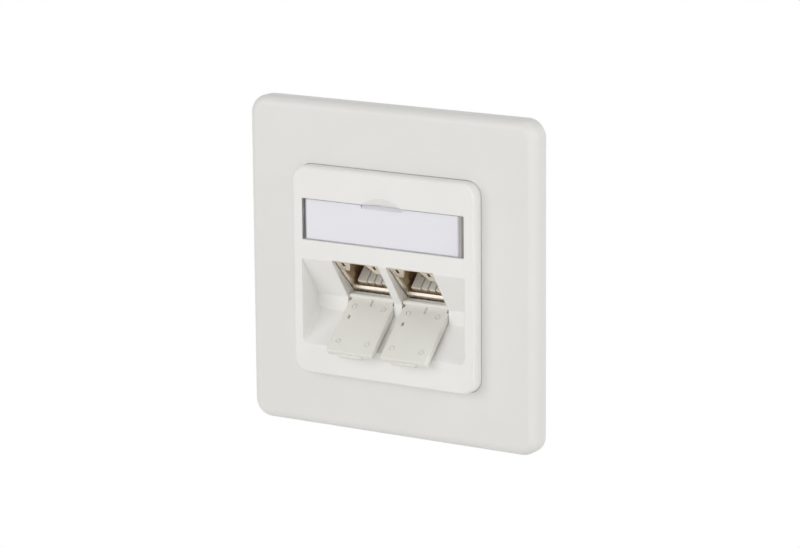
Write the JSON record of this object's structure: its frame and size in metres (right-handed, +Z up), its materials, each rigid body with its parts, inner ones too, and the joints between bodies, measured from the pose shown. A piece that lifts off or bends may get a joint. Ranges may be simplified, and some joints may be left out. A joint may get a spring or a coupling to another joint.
{
  "type": "ethernet wall socket",
  "caption": "Square flush-mounted data outlet with a raised centre plate, slanted modular jacks behind hinged dust flaps, and a clear label window.",
  "frame": {"origin": "centre of the square outlet on the wall plane, midway between the box screw slots", "axes": "+X right, +Y into the wall, +Z up, as seen when facing the wall"},
  "size_m": [0.08, 0.0372, 0.08],
  "materials": {
    "cover_plastic": "smooth moulded thermoplastic, satin gloss",
    "flap_plastic": "smooth moulded thermoplastic, satin gloss",
    "clear_plastic": "clear moulded plastic, polished",
    "label_paper": "uncoated white card",
    "screw_steel": "zinc-plated steel",
    "support_zinc": "bare zinc die casting",
    "jack_metal": "nickel-plated zinc die casting",
    "cap_metal": "nickel-plated zinc die casting",
    "spring_steel": "stamped spring strip",
    "carrier_plastic": "moulded plastic",
    "contact_bronze": "gold-plated spring bronze",
    "board_laminate": "solder-resist coated laminate",
    "terminal_plastic": "moulded plastic",
    "blade_bronze": "tin-plated bronze",
    "manager_plastic": "moulded plastic"
  },
  "bodies": {
    "socket": {"cover_frame": "cover_plastic", "cover_plate": "cover_plastic", "label_window": "clear_plastic", "label_card": "label_paper", "cover_screw": "screw_steel", "support_frame": "support_zinc", "left_jack_housing": "jack_metal", "left_shield_spring": "spring_steel", "left_contact_carrier": "carrier_plastic", "left_contact_springs": "contact_bronze", "left_circuit_board": "board_laminate", "left_idc_block": "terminal_plastic", "left_idc_blades": "blade_bronze", "left_wire_manager": "manager_plastic", "left_rear_cap": "cap_metal", "right_jack_housing": "jack_metal", "right_shield_spring": "spring_steel", "right_contact_carrier": "carrier_plastic", "right_contact_springs": "contact_bronze", "right_circuit_board": "board_laminate", "right_idc_block": "terminal_plastic", "right_idc_blades": "blade_bronze", "right_wire_manager": "manager_plastic", "right_rear_cap": "cap_metal"},
    "left_flap": {"left_dust_flap": "flap_plastic"},
    "right_flap": {"right_dust_flap": "flap_plastic"}
  },
  "joints": [
    {"name": "left_flap_hinge", "type": "hinge", "parent": "socket", "child": "left_flap", "pos_m": [-0.00762, -0.00042, -0.00753], "axis": [-1, 0, 0], "range_deg": [0, 95]},
    {"name": "right_flap_hinge", "type": "hinge", "parent": "socket", "child": "right_flap", "pos_m": [0.00762, -0.00042, -0.00753], "axis": [-1, 0, 0], "range_deg": [0, 95]}
  ]
}
